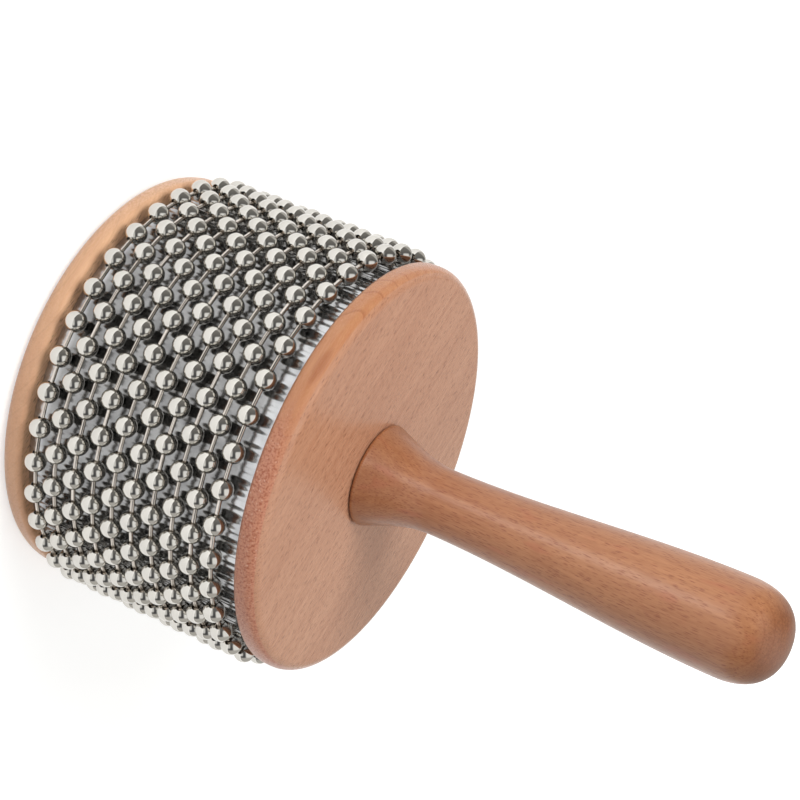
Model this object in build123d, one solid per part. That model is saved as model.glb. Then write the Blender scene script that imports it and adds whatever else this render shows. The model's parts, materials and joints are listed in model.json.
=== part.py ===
from build123d import *

import os
from math import cos, degrees, pi, sin, sqrt

# A cabasa: a hand shaker with loops of ball chain strung loosely round a ridged steel drum.
# It stands on the flat outer face of its far disc. The origin is the centre of that face, and +Z runs along
# the drum's axis to the end of the handle. All sizes are in millimetres.

# Wooden discs at the two ends of the drum
disc_diameter = 120.0
disc_thickness = 7.0
disc_outer_round = 4.0       # edge turned away from the chain
disc_inner_round = 1.5       # edge beside the chain
rim_height = 4.2             # how far the discs stand out past the sleeve's ridges

# Ridged steel sleeve, wrapped round the wooden core between the discs
ridge_count = 144
ridge_height = 0.6
sheet_thickness = 0.4
sleeve_fit = 0.1             # radial gap between core and sleeve
sleeve_end_gap = 0.1         # gap between each end of the sleeve and its disc

# Ball chain
loop_count = 10
beads_per_loop = 37
bead_diameter = 6.1
bead_wall = 0.4
chain_slack = 0.8            # how far a loop stands off the ridges when it is centred
loop_gap = 0.3               # free space between the beads of neighbouring loops
far_margin = 2.3             # free space between the first loop and the far disc
near_margin = 4.0            # free space between the last loop and the near disc
first_bead_angle = -86.1     # where the first bead of the first loop lies, in degrees from +X
link_diameter = 1.2
link_play = 0.1              # gap between a link and the edge of the hole that it leans towards
head_overlap = 0.2           # how much wider a link's head is than the hole, on the radius
head_play = 0.1              # gap between a head and the inside of its hole

# Turned handle
handle_length = 124.0        # from the near disc to the end of the grip
foot_radius = 15.3           # before its edge is rounded
foot_round = 1.4
shoulder_radius = 12.6       # pulls the curve in above the foot
neck_radius = 9.4
neck_height = 21.0           # from the disc to the thinnest place
grip_radius = 14.0
grip_end_length = 15.4       # rounded end, past the thickest place
grip_end_fullness = 0.645    # 0.55 is an ellipse, more is blunter
tenon_diameter = 16.0
tenon_depth = 38.0           # how far the tenon goes into the core
tenon_fit = 0.1              # radial glue gap
tenon_end_gap = 2.0

# Worked out from the sizes above
disc_radius = disc_diameter / 2
ridge_radius = disc_radius - rim_height
groove_radius = ridge_radius - ridge_height
core_radius = groove_radius - sheet_thickness - sleeve_fit
bead_radius = bead_diameter / 2
chain_radius = ridge_radius + chain_slack + bead_radius
loop_spacing = bead_diameter + loop_gap
drum_width = far_margin + loop_count * bead_diameter + (loop_count - 1) * loop_gap + near_margin
core_bottom = disc_thickness
core_top = core_bottom + drum_width
near_face = core_top + disc_thickness
socket_radius = tenon_diameter / 2 + tenon_fit

# A link runs straight from bead to bead, so it leans by half the bead pitch in each hole
bead_pitch = 2 * pi / beads_per_loop
lean = bead_pitch / 2
link_radius = link_diameter / 2
hole_radius = link_radius + bead_radius * sin(lean) + link_play
head_radius = hole_radius + head_overlap
hollow_radius = bead_radius - bead_wall


def disc():
    """One end of the drum, its outer face on z = 0, rounder on that edge than beside the chain."""
    body = Cylinder(disc_radius, disc_thickness, align=(Align.CENTER, Align.CENTER, Align.MIN))
    rims = body.edges().filter_by(GeomType.CIRCLE).sort_by(Axis.Z)
    body = fillet(rims[0], disc_outer_round)
    rims = body.edges().filter_by(GeomType.CIRCLE).sort_by(Axis.Z)
    return fillet(rims[-1], disc_inner_round)


def near_disc():
    """The disc on the handle's side, turned over, with a hole for the tenon."""
    hole = Cylinder(socket_radius, disc_thickness, align=(Align.CENTER, Align.CENTER, Align.MIN))
    return Pos(0, 0, near_face) * Rot(180, 0, 0) * (disc() - hole)


def core():
    """Wooden cylinder that carries the sleeve, with a blind socket for the handle's tenon."""
    body = Pos(0, 0, core_bottom) * Cylinder(
        core_radius, drum_width, align=(Align.CENTER, Align.CENTER, Align.MIN)
    )
    socket_depth = tenon_depth + tenon_end_gap
    socket = Cylinder(socket_radius, socket_depth, align=(Align.CENTER, Align.CENTER, Align.MAX))
    return body - Pos(0, 0, core_top) * socket


def ridged_outline(crest, groove):
    """Closed outline of rounded ridges and grooves that run into each other."""
    step = 2 * pi / ridge_count
    middle = (crest + groove) / 2

    def at(radius, turn):
        return (radius * cos(turn * step), radius * sin(turn * step))

    arcs = []
    for ridge in range(ridge_count):
        arcs.append(ThreePointArc(at(middle, ridge - 0.25), at(crest, ridge), at(middle, ridge + 0.25)))
        arcs.append(ThreePointArc(at(middle, ridge + 0.25), at(groove, ridge + 0.5), at(middle, ridge + 0.75)))
    return Wire(arcs)


def sleeve():
    """Thin steel sheet pressed into ridges along the drum and closed round the core."""
    outside = ridged_outline(ridge_radius, groove_radius)
    inside = ridged_outline(ridge_radius - sheet_thickness, groove_radius - sheet_thickness)
    length = drum_width - 2 * sleeve_end_gap
    return Pos(0, 0, core_bottom + sleeve_end_gap) * extrude(Face(outside, [inside]), length, dir=(0, 0, 1))


def handle():
    """Turned handle: bell foot, thin neck, full rounded grip, and a tenon below the foot."""
    grip_height = handle_length - grip_end_length
    tenon_radius = tenon_diameter / 2
    bell = neck_height / 3
    swell = (grip_height - neck_height) / 3
    blunt = grip_end_fullness

    def at(radius, height):
        return (radius, 0, near_face + height)

    bottom = -(disc_thickness + tenon_depth)
    outline = [
        Line(at(0, bottom), at(tenon_radius, bottom)),
        Line(at(tenon_radius, bottom), at(tenon_radius, 0)),
        Line(at(tenon_radius, 0), at(foot_radius, 0)),
        Bezier(
            at(foot_radius, 0),
            at(shoulder_radius, bell),
            at(neck_radius, neck_height - bell),
            at(neck_radius, neck_height),
        ),
        Bezier(
            at(neck_radius, neck_height),
            at(neck_radius, neck_height + swell),
            at(grip_radius, grip_height - swell),
            at(grip_radius, grip_height),
        ),
        Bezier(
            at(grip_radius, grip_height),
            at(grip_radius, grip_height + blunt * grip_end_length),
            at(grip_radius * blunt, handle_length),
            at(0, handle_length),
        ),
        Line(at(0, handle_length), at(0, bottom)),
    ]
    body = revolve(Face(Wire(outline)), Axis.Z)
    foot_edge = body.edges().filter_by(GeomType.CIRCLE).sort_by(lambda edge: abs(edge.radius - foot_radius))[0]
    return fillet(foot_edge, foot_round)


def bead():
    """Hollow ball with a hole at each pole, the holes on the Y axis."""
    outer_reach = sqrt(bead_radius**2 - hole_radius**2)
    inner_reach = sqrt(hollow_radius**2 - hole_radius**2)
    section = Wire(
        [
            ThreePointArc((hole_radius, -outer_reach), (bead_radius, 0), (hole_radius, outer_reach)),
            Line((hole_radius, outer_reach), (hole_radius, inner_reach)),
            ThreePointArc((hole_radius, inner_reach), (hollow_radius, 0), (hole_radius, -inner_reach)),
            Line((hole_radius, -inner_reach), (hole_radius, -outer_reach)),
        ]
    )
    return revolve(Face(section), Axis.Y)


def link():
    """Straight wire with a ball head at each end, along Y, each head caught inside a bead."""
    bead_distance = 2 * chain_radius * sin(lean)
    # Distance from a bead's centre at which the head just clears the inside edge of the hole
    hole_edge = hole_radius * sin(lean) + sqrt(hollow_radius**2 - hole_radius**2) * cos(lean)
    head_at = hole_edge - sqrt(hole_edge**2 - hollow_radius**2 + (head_radius + head_play) ** 2)
    reach = bead_distance / 2 - head_at
    throat = reach - sqrt(head_radius**2 - link_radius**2)
    section = Wire(
        [
            Line((0, -reach - head_radius), (0, reach + head_radius)),
            ThreePointArc((0, reach + head_radius), (head_radius, reach), (link_radius, throat)),
            Line((link_radius, throat), (link_radius, -throat)),
            ThreePointArc((link_radius, -throat), (head_radius, -reach), (0, -reach - head_radius)),
        ]
    )
    return revolve(Face(section), Axis.Y)


def ring(piece, radius, start_angle, height):
    """Copies of a piece evenly round the drum's axis, one to each bead pitch."""
    places = PolarLocations(radius, beads_per_loop, start_angle=start_angle)
    return Compound([Pos(0, 0, height) * place * piece for place in places])


def chain_loops():
    """Beads and links of every loop, each loop turned half a bead pitch from the one before."""
    one_bead = bead()
    one_link = link()
    loops = {}
    for index in range(loop_count):
        height = core_bottom + far_margin + bead_radius + index * loop_spacing
        start = first_bead_angle + degrees(lean) * (index % 2)
        name = f"loop_{index + 1:02d}"
        loops[f"{name}_beads"] = ring(one_bead, chain_radius, start, height)
        loops[f"{name}_links"] = ring(one_link, chain_radius * cos(lean), start + degrees(lean), height)
    return loops


nodes = {
    "far_disc": disc(),
    "core": core(),
    "sleeve": sleeve(),
    "near_disc": near_disc(),
    "handle": handle(),
}
nodes.update(chain_loops())

os.makedirs("parts", exist_ok=True)
for name, shape in nodes.items():
    export_step(shape, f"parts/{name}.step")
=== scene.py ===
import json
from math import atan2, cos, exp, pi, radians, sin, sqrt

import bpy
from mathutils import Matrix, Vector, noise

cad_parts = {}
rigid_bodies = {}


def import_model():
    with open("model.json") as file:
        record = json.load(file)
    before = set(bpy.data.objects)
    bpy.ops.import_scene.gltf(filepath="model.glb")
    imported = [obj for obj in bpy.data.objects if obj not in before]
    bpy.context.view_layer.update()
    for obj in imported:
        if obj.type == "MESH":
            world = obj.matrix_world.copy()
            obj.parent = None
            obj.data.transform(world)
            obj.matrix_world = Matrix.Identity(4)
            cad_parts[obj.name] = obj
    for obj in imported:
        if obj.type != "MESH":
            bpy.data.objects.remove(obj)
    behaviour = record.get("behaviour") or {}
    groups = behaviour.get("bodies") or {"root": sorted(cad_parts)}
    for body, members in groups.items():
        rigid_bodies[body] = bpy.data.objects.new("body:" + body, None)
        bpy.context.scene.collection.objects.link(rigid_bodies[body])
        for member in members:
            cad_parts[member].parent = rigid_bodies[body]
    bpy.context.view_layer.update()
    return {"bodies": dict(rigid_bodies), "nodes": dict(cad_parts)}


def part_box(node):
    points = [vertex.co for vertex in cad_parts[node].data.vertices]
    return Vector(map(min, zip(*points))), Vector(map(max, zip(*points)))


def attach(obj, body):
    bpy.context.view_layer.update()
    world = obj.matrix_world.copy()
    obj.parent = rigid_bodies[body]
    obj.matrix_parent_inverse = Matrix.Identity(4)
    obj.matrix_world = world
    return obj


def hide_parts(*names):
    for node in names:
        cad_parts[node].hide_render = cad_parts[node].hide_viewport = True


# A cabasa in its own frame, in metres: +Z runs along the drum's axis to the end of the handle,
# and the far disc stands on the floor.

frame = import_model()
mm = 0.001

# Sizes read from the frame
disc_low, disc_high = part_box("far_disc")
near_low, near_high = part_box("near_disc")
sleeve_low, sleeve_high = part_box("sleeve")
handle_low, handle_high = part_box("handle")
bead_low, bead_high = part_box("loop_01_beads")
near_face = near_high[2]
bead_radius = (bead_high[2] - bead_low[2]) / 2
loop_names = sorted(name for name in frame["bodies"] if name.startswith("loop_"))
first_loop = (bead_low[2] + bead_high[2]) / 2
last_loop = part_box(f"{loop_names[-1]}_beads")[0][2] + bead_radius

# Sizes of the pieces, as in the solids
disc_radius = 60.0 * mm
disc_outer_round = 4.0 * mm
disc_inner_round = 1.5 * mm
socket_radius = 8.1 * mm
ridge_radius = 55.8 * mm
ridge_height = 0.6 * mm
sheet_thickness = 0.4 * mm
ridge_count = 144
beads_per_loop = 37
first_bead_angle = radians(-86.1)
chain_radius = 59.65 * mm
bead_wall = 0.4 * mm
hole_radius = 0.96 * mm
link_radius = 0.6 * mm
head_radius = 1.16 * mm
head_from_bead = 1.53 * mm
half_pitch = pi / beads_per_loop


def lathe(profile, segments, closed=False, shape=None):
    """Points and faces of an outline turned about Z. A point on the axis becomes a pole.

    shape, where given, scales the radius by angle and height, for a form that isn't quite round.
    """
    points = []
    rows = []
    for radius, height in profile:
        if radius == 0:
            rows.append([len(points)] * segments)
            points.append(Vector((0, 0, height)))
            continue
        rows.append(range(len(points), len(points) + segments))
        for step in range(segments):
            angle = 2 * pi * step / segments
            reach = radius * (shape(angle, height) if shape else 1)
            points.append(Vector((reach * cos(angle), reach * sin(angle), height)))
    faces = []
    pairs = list(zip(rows, rows[1:] + rows[:1])) if closed else list(zip(rows, rows[1:]))
    for lower, upper in pairs:
        for step in range(segments):
            after = (step + 1) % segments
            corners = [lower[step], lower[after], upper[after], upper[step]]
            faces.append(list(dict.fromkeys(corners)))
    return points, faces


def arc(centre, radius, start, end, steps):
    """Points on an arc in the outline's plane, angles in degrees from the outward direction."""
    turns = [radians(start + (end - start) * step / steps) for step in range(steps + 1)]
    return [(centre[0] + radius * cos(turn), centre[1] + radius * sin(turn)) for turn in turns]


def bezier(a, b, c, d, steps):
    """Points on a cubic curve, without its first point."""
    points = []
    for step in range(1, steps + 1):
        t = step / steps
        u = 1 - t
        weights = (u**3, 3 * u * u * t, 3 * u * t * t, t**3)
        points.append(tuple(sum(w * p[axis] for w, p in zip(weights, (a, b, c, d))) for axis in (0, 1)))
    return points


def piece(name, body, points, faces, material, node, sharp=40.0):
    """A smooth-shaded piece that stands for one CAD node and rides that node's body."""
    mesh = bpy.data.meshes.new(name)
    mesh.from_pydata([tuple(point) for point in points], [], faces)
    mesh.validate()
    mesh.shade_smooth()
    mesh.set_sharp_from_angle(angle=radians(sharp))
    mesh.materials.append(material)
    obj = bpy.data.objects.new(name, mesh)
    bpy.context.scene.collection.objects.link(obj)
    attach(obj, body)
    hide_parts(node)
    return obj


def add(tree, kind, inputs=None, **settings):
    """A node with its settings, and its inputs either linked or set."""
    made = tree.nodes.new(kind)
    for name, value in settings.items():
        setattr(made, name, value)
    for name, value in (inputs or {}).items():
        socket = made.inputs[name]
        if isinstance(value, bpy.types.NodeSocket):
            tree.links.new(value, socket)
        else:
            socket.default_value = value
    return made


def calc(tree, operation, a, b=0.0, c=0.0, clamp=False):
    """Output of a maths node."""
    made = add(tree, "ShaderNodeMath", {0: a, 1: b, 2: c}, operation=operation, use_clamp=clamp)
    return made.outputs[0]


def blend_colour(tree, factor, a, b, mode="MIX"):
    """Output of a colour mix."""
    made = add(tree, "ShaderNodeMix", data_type="RGBA", blend_type=mode)
    for socket, value in ((0, factor), (6, a), (7, b)):
        if isinstance(value, bpy.types.NodeSocket):
            tree.links.new(value, made.inputs[socket])
        else:
            made.inputs[socket].default_value = value
    return made.outputs[2]


def ramp(tree, value, low, high):
    """A value spread so that low gives 0 and high gives 1, eased at both ends."""
    made = add(
        tree,
        "ShaderNodeMapRange",
        {"Value": value, "From Min": low, "From Max": high},
        interpolation_type="SMOOTHSTEP",
    )
    return made.outputs["Result"]


def srgb(red, green, blue):
    """A colour given as 0 to 255 display values, turned to the linear values that shaders take."""
    linear = []
    for value in (red, green, blue):
        share = value / 255
        linear.append(share / 12.92 if share <= 0.04045 else ((share + 0.055) / 1.055) ** 2.4)
    return (*linear, 1.0)


def new_material(name):
    """An empty node material and its shader."""
    material = bpy.data.materials.new(name)
    material.use_nodes = True
    tree = material.node_tree
    shader = tree.nodes["Principled BSDF"]
    return material, tree, shader


def mapped(tree, place, **changes):
    """Coordinates moved, turned or scaled."""
    made = add(tree, "ShaderNodeMapping", {"Vector": place, **changes})
    return made.outputs[0]


def soft_noise(tree, place, scale, detail, roughness=0.5):
    """Output of a noise texture."""
    made = add(
        tree,
        "ShaderNodeTexNoise",
        {"Vector": place, "Scale": scale, "Detail": detail, "Roughness": roughness},
    )
    return made.outputs[0]


def length_of(tree, place):
    """Length of a vector."""
    return add(tree, "ShaderNodeVectorMath", {0: place}, operation="LENGTH").outputs["Value"]


def tinted(tree, amount, share, colour, tone):
    """A colour blended towards a tone by a share of an amount."""
    return blend_colour(tree, calc(tree, "MULTIPLY", amount, share), colour, tone)


def grained(tree, along_grain, along, across, shift):
    """Coordinates squeezed so that a pattern comes out long with the grain and narrow across it."""
    return mapped(tree, along_grain, Location=(shift, shift, shift), Scale=(along, across, across))


def grain_noise(tree, along_grain, along, across, detail, shift):
    """Soft noise drawn out along the grain, at so many lumps to the metre along and across."""
    return soft_noise(tree, grained(tree, along_grain, along, across, shift), 1.0, detail)


def dashes(tree, along_grain, length, width, share, shift):
    """Separate short dashes along the grain: 1 inside a dash, in a share of the cells."""
    reach = 0.32
    place = grained(tree, along_grain, 2 * reach / length, 2 * reach / width, shift)
    cells = add(tree, "ShaderNodeTexVoronoi", {"Vector": place, "Scale": 1.0, "Randomness": 1.0})
    chosen = add(tree, "ShaderNodeSeparateColor", {0: cells.outputs["Color"]}).outputs
    picked = calc(tree, "LESS_THAN", chosen[0], share)
    weight = calc(tree, "MULTIPLY_ADD", chosen[1], 0.6, 0.4)
    inside = ramp(tree, cells.outputs["Distance"], reach, 0.35 * reach)
    return calc(tree, "MULTIPLY", calc(tree, "MULTIPLY", picked, weight), inside)


def growth_rings(tree, along_grain, pith, period, thin=0.7):
    """Darker late wood at the end of each year's growth, round a pith given across the grain, in metres."""
    place = mapped(tree, along_grain, Location=(0.0, -pith[0], -pith[1]))
    wave = add(
        tree,
        "ShaderNodeTexWave",
        {
            "Vector": place,
            "Scale": 0.1 * pi / period,
            "Distortion": 2.4,
            "Detail": 2.0,
            "Detail Scale": 0.25,
            "Detail Roughness": 0.5,
        },
        wave_type="RINGS",
        rings_direction="X",
        wave_profile="SAW",
    ).outputs["Fac"]
    return calc(tree, "MULTIPLY", ramp(tree, wave, thin, 0.96), ramp(tree, wave, 1.0, 0.98))


def radius_from_axis(tree, place):
    """Distance from the drum's axis."""
    flat = add(tree, "ShaderNodeVectorMath", {0: place, 1: (1, 1, 0)}, operation="MULTIPLY").outputs[0]
    return length_of(tree, flat)


def wood_base(tree, along_grain, pale, deep):
    """Fine fibres, streaks and broad clouds between two tones, and the fibres on their own."""
    fibre = grain_noise(tree, along_grain, 120.0, 2600.0, 2.0, 0.0)
    streak = grain_noise(tree, along_grain, 30.0, 900.0, 2.0, 3.0)
    cloud = grain_noise(tree, along_grain, 9.0, 55.0, 2.0, 7.0)
    tone = calc(tree, "MULTIPLY", ramp(tree, cloud, 0.3, 0.7), 0.3)
    tone = calc(tree, "MULTIPLY_ADD", ramp(tree, streak, 0.25, 0.75), 0.35, tone)
    tone = calc(tree, "MULTIPLY_ADD", ramp(tree, fibre, 0.25, 0.75), 0.35, tone)
    return blend_colour(tree, tone, pale, deep), fibre


def end_grain(tree, normal, along_grain, grain_angles, low, high, other_end=1.0):
    """How far a surface cuts across the fibres, and the pores that show there."""
    pores_per_metre = 1700.0
    turned = add(
        tree,
        "ShaderNodeVectorRotate",
        {"Vector": normal, "Rotation": grain_angles},
        rotation_type="EULER_XYZ",
    ).outputs[0]
    facing = add(tree, "ShaderNodeSeparateXYZ", {0: turned}).outputs[0]
    facing = calc(tree, "MAXIMUM", facing, calc(tree, "MULTIPLY", facing, -other_end))
    speckle = soft_noise(tree, along_grain, pores_per_metre, 2.0, 0.6)
    return ramp(tree, facing, low, high), ramp(tree, speckle, 0.38, 0.68)


def finish_wood(tree, shader, colour, fibre, pits, roughness, relief):
    """Connects colour, roughness that follows the fibres, and a shallow relief with pits pressed in."""
    tree.links.new(colour, shader.inputs["Base Color"])
    shine = calc(tree, "MULTIPLY_ADD", fibre, 0.14, roughness - 0.07)
    tree.links.new(calc(tree, "MULTIPLY_ADD", pits, 0.12, shine), shader.inputs["Roughness"])
    height = calc(tree, "SUBTRACT", calc(tree, "MULTIPLY", fibre, 0.6), pits)
    bump = add(tree, "ShaderNodeBump", {"Height": height, "Strength": 0.5, "Distance": relief})
    tree.links.new(bump.outputs[0], shader.inputs["Normal"])


def disc_beech(name, pale, deep, rim_pale, rim_deep, figure):
    """Beech of a disc: a fine straight grain across the satin faces, end grain and ring arcs on the rim."""
    grain_angles = (0, 0, radians(19.6))
    pith = (12.0 * mm, 52.0 * mm)
    ring_width = 3.1 * mm
    rim_start = disc_radius - 1.6 * mm
    rim_full = disc_radius - 1.2 * mm
    fleck_tone = srgb(128, 76, 52)
    face_ring_tone = srgb(158, 96, 66)
    rim_ring_tone = srgb(140, 70, 42)
    between_pores = srgb(206, 144, 118)
    pore_tone = srgb(164, 88, 64)
    chalk_tone = srgb(232, 196, 178)
    material, tree, shader = new_material(name)
    place = add(tree, "ShaderNodeTexCoord").outputs
    along_grain = mapped(tree, place["Object"], Rotation=grain_angles)

    face, fibre = wood_base(tree, along_grain, pale, deep)
    fine = dashes(tree, along_grain, 2.2 * mm, 0.4 * mm, 0.9, 5.0)
    face = blend_colour(tree, fine, face, fleck_tone)
    short = dashes(tree, along_grain, 1.5 * mm, 0.3 * mm, 0.9, 9.0)
    face = tinted(tree, short, 0.8, face, fleck_tone)
    rings = growth_rings(tree, along_grain, pith, ring_width, 0.84)
    face = tinted(tree, rings, 0.07, face, face_ring_tone)

    rim = wood_base(tree, along_grain, rim_pale, rim_deep)[0]
    rim = tinted(tree, rings, 0.35 * figure, rim, rim_ring_tone)
    ends, pores = end_grain(tree, place["Normal"], along_grain, grain_angles, 0.05, 0.5, 0.25)
    mottled = blend_colour(tree, pores, between_pores, pore_tone)
    chalky = dashes(tree, along_grain, 0.8 * mm, 0.5 * mm, 0.5, 17.0)
    mottled = tinted(tree, chalky, 0.7, mottled, chalk_tone)
    rim = tinted(tree, ends, 0.85 * figure, rim, mottled)

    on_rim = ramp(tree, radius_from_axis(tree, place["Object"]), rim_start, rim_full)
    colour = blend_colour(tree, on_rim, face, rim)
    pits = calc(tree, "MULTIPLY", calc(tree, "MULTIPLY", pores, ends), on_rim)
    pits = calc(tree, "MULTIPLY_ADD", fine, 0.4, pits)
    finish_wood(tree, shader, colour, fibre, pits, 0.27, 0.04 * mm)
    return material


def handle_beech():
    """Beech of the handle: short dark flecks along the grain, ring arcs where the turning cuts through."""
    grain_angles = (0, radians(90), 0)
    pith = (41.0 * mm, 6.0 * mm)
    ring_width = 2.1 * mm
    pale, deep = srgb(178, 122, 82), srgb(147, 90, 55)
    blotch_tone = srgb(166, 98, 66)
    ring_tone = srgb(142, 78, 44)
    fleck_tone = srgb(124, 62, 36)
    end_grain_and_shade_tone = srgb(122, 72, 44)
    material, tree, shader = new_material("handle_beech")
    place = add(tree, "ShaderNodeTexCoord").outputs
    along_grain = mapped(tree, place["Object"], Rotation=grain_angles)

    colour, fibre = wood_base(tree, along_grain, pale, deep)
    blotch = grain_noise(tree, along_grain, 70.0, 210.0, 1.0, 11.0)
    colour = tinted(tree, ramp(tree, blotch, 0.58, 0.7), 0.55, colour, blotch_tone)
    ends, pores = end_grain(tree, place["Normal"], along_grain, grain_angles, 0.25, 0.75)
    rings = growth_rings(tree, along_grain, pith, ring_width, 0.8)
    shown = calc(tree, "MULTIPLY_ADD", ends, 0.55, 0.15)
    colour = tinted(tree, rings, shown, colour, ring_tone)
    flecks = dashes(tree, along_grain, 3.4 * mm, 0.36 * mm, 0.9, 5.0)
    for length, width, shift in ((2.4 * mm, 0.3 * mm, 9.0), (2.8 * mm, 0.32 * mm, 13.0)):
        flecks = calc(tree, "MAXIMUM", flecks, dashes(tree, along_grain, length, width, 0.9, shift))
    colour = tinted(tree, flecks, 0.9, colour, fleck_tone)
    # Darker where the grain ends, as on the end dome: partly the end grain's own tone, partly painted
    # shade.
    end_grain_and_shade = calc(tree, "MULTIPLY_ADD", pores, 0.3, 0.6)
    colour = tinted(tree, end_grain_and_shade, ends, colour, end_grain_and_shade_tone)
    finish_wood(tree, shader, colour, fibre, flecks, 0.38, 0.05 * mm)
    shader.inputs["Coat Weight"].default_value = 0.3
    shader.inputs["Coat Roughness"].default_value = 0.25
    return material


def core_beech():
    """Sanded, unlacquered beech of the hidden core."""
    pith = (60.0 * mm, 90.0 * mm)
    ring_width = 4.0 * mm
    ring_tone = srgb(150, 100, 66)
    fleck_tone = srgb(130, 80, 50)
    material, tree, shader = new_material("core_beech")
    place = add(tree, "ShaderNodeTexCoord").outputs
    along_grain = mapped(tree, place["Object"], Rotation=(0, radians(90), 0))
    colour, fibre = wood_base(tree, along_grain, srgb(205, 168, 134), srgb(186, 142, 106))
    rings = growth_rings(tree, along_grain, pith, ring_width)
    colour = tinted(tree, rings, 0.3, colour, ring_tone)
    flecks = dashes(tree, along_grain, 3.0 * mm, 0.4 * mm, 0.3, 5.0)
    colour = tinted(tree, flecks, 0.4, colour, fleck_tone)
    finish_wood(tree, shader, colour, fibre, flecks, 0.6, 0.06 * mm)
    return material


def plated(name, colour, dull, smudge_scale, scratch):
    """Bright plating: a mirror with faint smudges and fine scratches."""
    smudge_darkening = 0.92
    scratches_per_metre = 2200.0
    material, tree, shader = new_material(name)
    place = add(tree, "ShaderNodeTexCoord").outputs["Object"]
    smudge = soft_noise(tree, place, smudge_scale, 4.0, 0.6)
    tint = tuple(smudge_darkening * share for share in colour[:3]) + (1.0,)
    tone = blend_colour(tree, ramp(tree, smudge, 0.35, 0.75), colour, tint)
    tree.links.new(tone, shader.inputs["Base Color"])
    shader.inputs["Metallic"].default_value = 1.0
    roughness = calc(tree, "MULTIPLY_ADD", ramp(tree, smudge, 0.4, 0.8), 0.07, dull)
    tree.links.new(roughness, shader.inputs["Roughness"])
    fine = soft_noise(tree, place, scratches_per_metre, 2.0)
    bump = add(tree, "ShaderNodeBump", {"Height": fine, "Strength": scratch, "Distance": 0.01 * mm})
    tree.links.new(bump.outputs[0], shader.inputs["Normal"])
    return material


def rolled_steel(name):
    """Bright rolled sheet: fine lines along the ridges, some unevenness, and painted shade: darker under
    the chain, where the beads shade it.
    """
    bright_tones = srgb(200, 201, 203), srgb(172, 173, 176)
    chain_shade_tones = srgb(158, 158, 158), srgb(132, 132, 133)
    line_scale = (3000, 3000, 60)
    material, tree, shader = new_material(name)
    place = add(tree, "ShaderNodeTexCoord").outputs["Object"]
    lines = soft_noise(tree, mapped(tree, place, Scale=line_scale), 1.0, 3.0)
    patches = ramp(tree, soft_noise(tree, place, 160.0, 3.0), 0.35, 0.7)
    bright = blend_colour(tree, patches, *bright_tones)
    chain_shaded = blend_colour(tree, patches, *chain_shade_tones)
    height = add(tree, "ShaderNodeSeparateXYZ", {0: place}).outputs[2]
    # Painted shade: the band that the chain covers gets darker tones, standing in for the beads' shade on
    # the sheet.
    chain_shade_mask = within(tree, height, first_loop, last_loop, 2.5 * mm)
    tree.links.new(blend_colour(tree, chain_shade_mask, bright, chain_shaded), shader.inputs["Base Color"])
    shader.inputs["Metallic"].default_value = 1.0
    tree.links.new(calc(tree, "MULTIPLY_ADD", lines, 0.08, 0.15), shader.inputs["Roughness"])
    bump = add(tree, "ShaderNodeBump", {"Height": lines, "Strength": 0.12, "Distance": 0.02 * mm})
    tree.links.new(bump.outputs[0], shader.inputs["Normal"])
    return material


def disc_profile(bottom, top, outer_up, hole):
    """Outline of a disc, from its lower face round the rim to its upper face."""
    low_round, high_round = disc_outer_round, disc_inner_round
    if outer_up:
        low_round, high_round = high_round, low_round
    rim = arc((disc_radius - low_round, bottom + low_round), low_round, -90, 0, 10)
    rim += arc((disc_radius - high_round, top - high_round), high_round, 0, 90, 10)
    if hole:
        return [(hole, bottom)] + rim + [(hole, top)]
    return [(0, bottom)] + rim + [(0, top)]


def make_discs():
    """Two turned discs, their grain running across the face."""
    # The far disc's own honey tone, and painted light: it is made paler still to stand in for the light
    # that barely reaches it.
    honey_painted_paler = srgb(246, 198, 158), srgb(230, 176, 136)
    wood = disc_beech("far_disc_beech", *honey_painted_paler, *honey_painted_paler, 0.25)
    points, faces = lathe(disc_profile(disc_low[2], disc_high[2], False, 0), 192)
    piece("far_disc_wood", "drum", points, faces, wood, "far_disc")
    pink = srgb(210, 159, 128), srgb(181, 127, 98)
    wood = disc_beech("near_disc_beech", *pink, srgb(206, 151, 110), srgb(184, 120, 82), 1.0)
    points, faces = lathe(disc_profile(near_low[2], near_high[2], True, socket_radius), 192, closed=True)
    piece("near_disc_wood", "drum", points, faces, wood, "near_disc")


def make_handle():
    """Turned handle with a bell foot, a thin neck, a full grip and its tenon."""
    foot_radius = 15.3 * mm
    foot_round = 1.3 * mm
    shoulder_radius = 12.6 * mm
    neck_radius = 9.4 * mm
    neck_height = near_face + 21.0 * mm
    grip_radius = 14.0 * mm
    end = handle_high[2]
    grip_end = 15.4 * mm
    fullness = 0.645
    tenon_radius = 8.0 * mm
    tenon_bottom = handle_low[2]
    bell = (neck_height - near_face) / 3
    grip_height = end - grip_end
    swell = (grip_height - neck_height) / 3
    foot_curve = bezier(
        (foot_radius, near_face),
        (shoulder_radius, near_face + bell),
        (neck_radius, neck_height - bell),
        (neck_radius, neck_height),
        48,
    )
    # The foot's edge is rounded where the curve has come in by about the round's size
    above = [point for point in foot_curve if point[1] > near_face + foot_round]
    rounded = bezier(
        (above[0][0] - foot_round, near_face),
        (above[0][0] - 0.2 * foot_round, near_face),
        (above[0][0] + 0.12 * foot_round, near_face + 0.5 * foot_round),
        above[0],
        8,
    )
    profile = [(0, tenon_bottom), (tenon_radius, tenon_bottom), (tenon_radius, near_face)]
    profile += [(above[0][0] - foot_round, near_face)] + rounded + above[1:]
    profile += bezier(
        (neck_radius, neck_height),
        (neck_radius, neck_height + swell),
        (grip_radius, grip_height - swell),
        (grip_radius, grip_height),
        40,
    )
    profile += bezier(
        (grip_radius, grip_height),
        (grip_radius, grip_height + fullness * grip_end),
        (grip_radius * fullness, end),
        (0, end),
        24,
    )
    profile[-1] = (0, end)
    points, faces = lathe(profile, 128)
    return piece("handle_wood", "drum", points, faces, handle_beech(), "handle")


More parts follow.
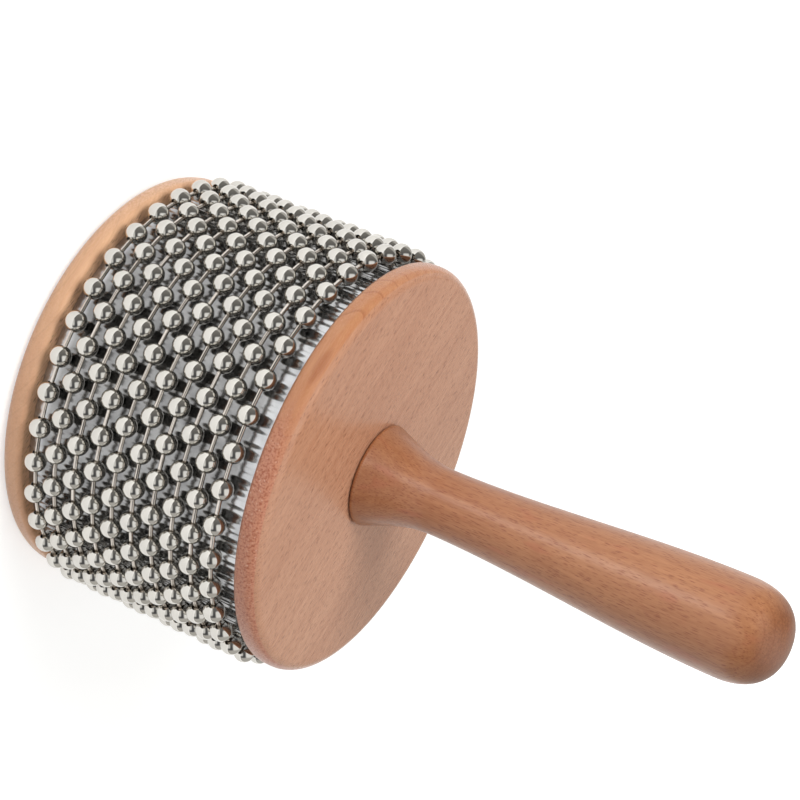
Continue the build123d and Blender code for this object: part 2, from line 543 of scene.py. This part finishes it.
def make_sleeve():
    """Thin sheet pressed into ridges, a little uneven from ridge to ridge and along its length."""
    per_ridge = 10
    rows = 40
    around = ridge_count * per_ridge
    bottom, top = sleeve_low[2], sleeve_high[2]
    uneven = 0.06 * mm
    mean_depth = 0.22
    depth_change = 0.06

    def outside(step, row):
        turn = 2 * pi * step / around
        height = bottom + (top - bottom) * row / rows
        crest = 0.5 + 0.5 * cos(2 * pi * step / per_ridge)
        wide = Vector((11 * cos(turn), 11 * sin(turn), 12 * height))
        close = Vector((25 * cos(turn), 25 * sin(turn), 30 * height))
        depth = mean_depth + depth_change * noise.noise(wide)
        buckle = noise.noise(close)
        return ridge_radius - ridge_height * depth * (1 - crest) - uneven * (0.5 + 0.5 * buckle)

    points = []
    for row in range(rows + 1):
        height = bottom + (top - bottom) * row / rows
        for step in range(around):
            reach = outside(step, row)
            turn = 2 * pi * step / around
            points.append(Vector((reach * cos(turn), reach * sin(turn), height)))
    inner = ridge_radius - ridge_height - sheet_thickness
    for height in (bottom, top):
        for step in range(around):
            turn = 2 * pi * step / around
            points.append(Vector((inner * cos(turn), inner * sin(turn), height)))
    faces = []
    low_inner = (rows + 1) * around
    high_inner = low_inner + around
    for step in range(around):
        after = (step + 1) % around
        for row in range(rows):
            base, above = row * around, (row + 1) * around
            faces.append((base + step, base + after, above + after, above + step))
        last = rows * around
        faces.append((last + step, last + after, high_inner + after, high_inner + step))
        faces.append((high_inner + step, high_inner + after, low_inner + after, low_inner + step))
        faces.append((low_inner + step, low_inner + after, after, step))
    steel = rolled_steel("sleeve_sheet_steel")
    piece("sleeve_sheet", "drum", points, faces, steel, "sleeve", sharp=60)


def bead_shape():
    """One hollow bead about Z, with a softened hole at each pole."""
    lip = 0.12 * mm
    inside = bead_radius - bead_wall
    rim_turn = atan2(sqrt(bead_radius**2 - (hole_radius + lip) ** 2), hole_radius + lip)
    inner_turn = atan2(sqrt(inside**2 - hole_radius**2), hole_radius)
    steps = 20
    outer = [-rim_turn + 2 * rim_turn * step / steps for step in range(steps + 1)]
    hollow = [inner_turn - 2 * inner_turn * step / 6 for step in range(7)]
    profile = [(bead_radius * cos(turn), bead_radius * sin(turn)) for turn in outer]
    edge = profile[-1][1] - lip
    profile += [(hole_radius, edge)]
    profile += [(inside * cos(turn), inside * sin(turn)) for turn in hollow]
    profile += [(hole_radius, -edge)]
    return lathe(profile, 40, closed=True)


def link_shape():
    """One wire link about Z: a drawn wire with a lengthwise fold line and a ball head at each end."""
    reach = chain_radius * sin(half_pitch) - head_from_bead
    throat = reach - sqrt(head_radius**2 - link_radius**2)
    throat_turn = atan2(reach - throat, link_radius)
    groove, groove_width = 0.2, 0.28
    side_groove, side_turn, side_width = 0.06, 1.25, 0.25

    def fold(angle, height):
        if abs(height) > throat:
            return 1.0
        turn = (angle + pi) % (2 * pi) - pi
        middle = groove * exp(-((turn / groove_width) ** 2))
        sides = side_groove * exp(-(((abs(turn) - side_turn) / side_width) ** 2))
        return 1 - middle - sides

    steps = 8
    head = [radians(90) * step / steps - throat_turn * (1 - step / steps) for step in range(steps + 1)]
    upper = [(head_radius * cos(turn), reach + head_radius * sin(turn)) for turn in head]
    upper[-1] = (0, reach + head_radius)
    wire = [(link_radius, throat * share) for share in (-0.98, 0.98)]
    lower = [(radius, -height) for radius, height in reversed(upper)]
    return lathe(lower + wire + upper, 32, shape=fold)


def copies(shape, radius, start, height, spin=None):
    """A shape set round the drum's axis once to each bead pitch, its own Z along the chain."""
    base, base_faces = shape
    points = []
    faces = []
    for index in range(beads_per_loop):
        angle = start + 2 * half_pitch * index
        along = Matrix.Rotation(-pi / 2, 4, "X")
        own = Matrix.Rotation(spin(index), 4, "Z") if spin else Matrix.Identity(4)
        place = Matrix.Rotation(angle, 4, "Z") @ Matrix.Translation((radius, 0, height)) @ along @ own
        offset = len(points)
        points += [place @ point for point in base]
        faces += [[corner + offset for corner in face] for face in base_faces]
    return points, faces


def make_chain():
    """Ten loops of ball chain, each turned half a bead pitch from the one before."""
    bead_metal = plated("bead_plating", srgb(210, 207, 201), 0.03, 90.0, 0.05)
    link_metal = plated("link_plating", srgb(214, 206, 198), 0.14, 300.0, 0.2)
    bead = bead_shape()
    link = link_shape()
    for index, name in enumerate(loop_names):
        low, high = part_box(f"{name}_beads")
        height = (low[2] + high[2]) / 2
        start = first_bead_angle + half_pitch * (index % 2)

        def lean(place, loop=index):
            # The fold line faces roughly outwards, never quite the same way
            return 0.9 * sin(12.9898 * place + 4.1414 * loop)

        points, faces = copies(bead, chain_radius, start, height)
        piece(f"{name}_ball_chain", name, points, faces, bead_metal, f"{name}_beads")
        points, faces = copies(link, chain_radius * cos(half_pitch), start + half_pitch, height, spin=lean)
        piece(f"{name}_wire", name, points, faces, link_metal, f"{name}_links", sharp=55)


def finish_core():
    """The hidden wooden core keeps its solid and gets sanded wood."""
    core = frame["nodes"]["core"]
    core.data.materials.clear()
    core.data.materials.append(core_beech())


# The photograph's camera, in metres in the part's frame
camera_place = Vector((0.0, -0.5497, 0.3105))
camera_aim = Vector((-0.0215, -0.0015, 0.0825))
camera_roll = radians(-112.24)
camera_lens = 96.44


def make_camera():
    """Long lens, rolled so that the handle points to the lower right, and the picture's own directions."""
    data = bpy.data.cameras.new("camera")
    data.lens = camera_lens
    data.sensor_width = 36.0
    camera = bpy.data.objects.new("camera", data)
    bpy.context.scene.collection.objects.link(camera)
    forward = (camera_aim - camera_place).normalized()
    level_right = forward.cross(Vector((0, 0, 1))).normalized()
    level_up = level_right.cross(forward)
    up = level_up * cos(camera_roll) + level_right * sin(camera_roll)
    right = forward.cross(up)
    turn = Matrix((right, up, -forward)).transposed()
    camera.matrix_world = Matrix.Translation(camera_place) @ turn.to_4x4()
    bpy.context.scene.camera = camera
    return right, up, -forward


def softbox(name, direction, distance, width, height, radiance, upright):
    """A square-cut soft light that faces the drum, hidden from the camera."""
    data = bpy.data.lights.new(name, "AREA")
    data.shape = "RECTANGLE"
    data.size = width
    data.size_y = height
    data.energy = radiance * pi * width * height
    lamp = bpy.data.objects.new(name, data)
    bpy.context.scene.collection.objects.link(lamp)
    target = Vector((0, 0, 60.0 * mm))
    back = direction.normalized()
    side = upright.cross(back).normalized()
    top = back.cross(side)
    turn = Matrix((side, top, back)).transposed()
    lamp.matrix_world = Matrix.Translation(target + back * distance) @ turn.to_4x4()
    lamp.visible_camera = False
    return lamp


def handle_strip(handle):
    """A narrow upright lamp that puts a soft line of light along the handle, and lights nothing else."""
    direction = Vector((-0.32, -0.95, 0.0))
    lamp_height = 0.085
    strip = softbox("handle_strip", direction, 0.2, 0.06, 0.14, 3.4, Vector((0, 0, 1)))
    strip.matrix_world.translation.z = lamp_height
    lit = bpy.data.collections.new("lit_by_strip")
    lit.objects.link(handle)
    strip.light_linking.receiver_collection = lit


def make_lamps(up, handle):
    """A soft key light and three fills. What shows of the lights in the metal is the room's two boxes."""
    lamps = (
        softbox("key_light", Vector((-0.45, -0.48, 0.75)), 0.62, 0.29, 0.29, 6.3, up),
        softbox("front_fill", Vector((0.1, -0.91, 0.4)), 1.0, 0.7, 0.7, 0.3, up),
        softbox("side_fill", Vector((-0.66, -0.75, 0.38)), 0.9, 0.5, 0.4, 2.6, Vector((0, 0, 1))),
        softbox("back_fill", Vector((0.5, 0.86, 0.14)), 1.0, 0.6, 0.3, 1.6, Vector((0, 0, 1))),
    )
    for lamp in lamps:
        lamp.visible_glossy = False
    handle_strip(handle)


def within(tree, value, low, high, soft):
    """1 between two limits, falling to 0 over a soft edge outside them."""
    rising = ramp(tree, value, low - soft, low)
    falling = ramp(tree, value, high + soft, high)
    return calc(tree, "MULTIPLY", rising, falling)


def make_room(right, up, toward):
    """The room round the object: pale behind, a darker gap on the camera's side, two softboxes in it.

    Across and down are the places at which a ball, seen along the photograph's line of sight, shows
    a direction. Most of the first softbox lies below the floor's level.
    """
    gap_half, gap_bow, gap_shift, gap_soft = 0.6, -0.68, 0.06, 0.06
    shade_tones = srgb(136, 134, 130), srgb(88, 88, 90)
    pale_tones = srgb(204, 202, 198), srgb(200, 198, 193)
    boxes = (((-0.49, -0.2), (-0.12, 0.24), 0.9), ((0.31, 0.58), (0.1, 0.42), 1.05))
    box_soft = 0.26
    world = bpy.data.worlds.new("studio")
    bpy.context.scene.world = world
    world.use_nodes = True
    tree = world.node_tree
    direction = add(tree, "ShaderNodeTexCoord").outputs["Generated"]

    def share(axis):
        made = add(tree, "ShaderNodeVectorMath", {0: direction, 1: axis}, operation="DOT_PRODUCT")
        return made.outputs["Value"]

    facing = calc(tree, "SQRT", calc(tree, "MULTIPLY_ADD", share(toward), 2.0, 2.0001))
    across = calc(tree, "DIVIDE", share(right), facing)
    down = calc(tree, "DIVIDE", share(-up), facing)
    bow = calc(tree, "MULTIPLY", across, across)
    gap = calc(tree, "MULTIPLY_ADD", bow, gap_bow, gap_half)
    height = calc(tree, "ABSOLUTE", calc(tree, "ADD", down, gap_shift))
    dark = ramp(tree, calc(tree, "SUBTRACT", gap, height), -gap_soft, gap_soft)
    shade = blend_colour(tree, ramp(tree, down, -0.6, 0.35), *shade_tones)
    pale = blend_colour(tree, ramp(tree, down, 0.3, 0.8), *pale_tones)
    colour = blend_colour(tree, dark, pale, shade)
    for sides, edges, level in boxes:
        over = within(tree, across, *sides, box_soft)
        box = calc(tree, "MULTIPLY", over, within(tree, down, *edges, box_soft))
        colour = blend_colour(tree, ramp(tree, box, 0.1, 0.95), colour, (level, level, 0.985 * level, 1.0))
    tree.links.new(colour, tree.nodes["Background"].inputs["Color"])


def flat_sheet(name, corners, material):
    """A flat stage sheet of one face."""
    mesh = bpy.data.meshes.new(name)
    mesh.from_pydata(corners, [], [list(range(len(corners)))])
    mesh.materials.append(material)
    sheet = bpy.data.objects.new(name, mesh)
    bpy.context.scene.collection.objects.link(sheet)


def make_floor():
    """A white floor that keeps the object's shadow, and shows in the metal too."""
    reach = 6.0
    glow_near, glow_gain = 0.6, 0.4
    gain_start, gain_end = 0.2, 1.3
    material, tree, shader = new_material("floor_white")
    tree.nodes.remove(shader)
    rays = add(tree, "ShaderNodeLightPath").outputs
    seen = calc(tree, "MAXIMUM", rays["Is Camera Ray"], rays["Is Glossy Ray"])
    seen = calc(tree, "MAXIMUM", seen, rays["Is Transmission Ray"])
    away = length_of(tree, add(tree, "ShaderNodeTexCoord").outputs["Object"])
    level = calc(tree, "MULTIPLY_ADD", ramp(tree, away, gain_start, gain_end), glow_gain, glow_near)
    level = calc(tree, "MULTIPLY", level, seen)
    glow = add(tree, "ShaderNodeEmission", {"Color": (1, 1, 1, 1), "Strength": level})
    cloth = add(tree, "ShaderNodeBsdfDiffuse", {"Color": srgb(206, 206, 205)})
    both = add(tree, "ShaderNodeAddShader", {0: cloth.outputs[0], 1: glow.outputs[0]})
    tree.links.new(both.outputs[0], tree.nodes["Material Output"].inputs[0])
    corners = [(-reach, -reach, 0), (reach, -reach, 0), (reach, reach, 0), (-reach, reach, 0)]
    flat_sheet("floor", corners, material)


def make_studio(handle, right, up, toward):
    """Everything round the object that isn't part of it."""
    make_lamps(up, handle)
    make_room(right, up, toward)
    make_floor()


make_discs()
handle = make_handle()
make_sleeve()
make_chain()
finish_core()
make_studio(handle, *make_camera())
bpy.context.scene.view_settings.view_transform = "Standard"
